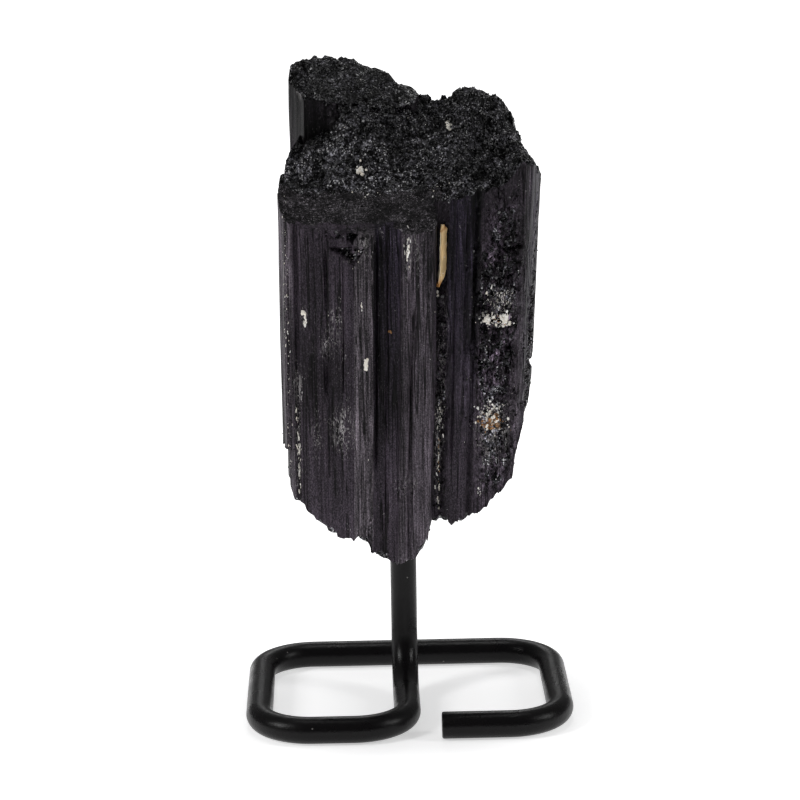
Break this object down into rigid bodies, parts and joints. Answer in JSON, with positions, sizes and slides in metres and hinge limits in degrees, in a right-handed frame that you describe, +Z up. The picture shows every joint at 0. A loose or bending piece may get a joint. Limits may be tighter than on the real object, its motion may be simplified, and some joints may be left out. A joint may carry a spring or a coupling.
{
  "type": "tourmaline crystal on stand",
  "caption": "Rough black tourmaline crystal, a ribbed bundle of prisms with a broken, stepped top, held upright on a bent black rod stand.",
  "frame": {"origin": "on the ground, at the middle of the stand's outer width and depth", "axes": "+X to the right seen from the front, +Y to the back, +Z up along the crystal's ribs"},
  "size_m": [0.0736, 0.059, 0.1473],
  "materials": {
    "black_tourmaline": "glassy ribs with a rough, glittering broken end",
    "black_powder_coat": "satin powder coat"
  },
  "bodies": {
    "root": {"tourmaline_crystal": "black_tourmaline", "stand_rod": "black_powder_coat"}
  },
  "joints": []
}
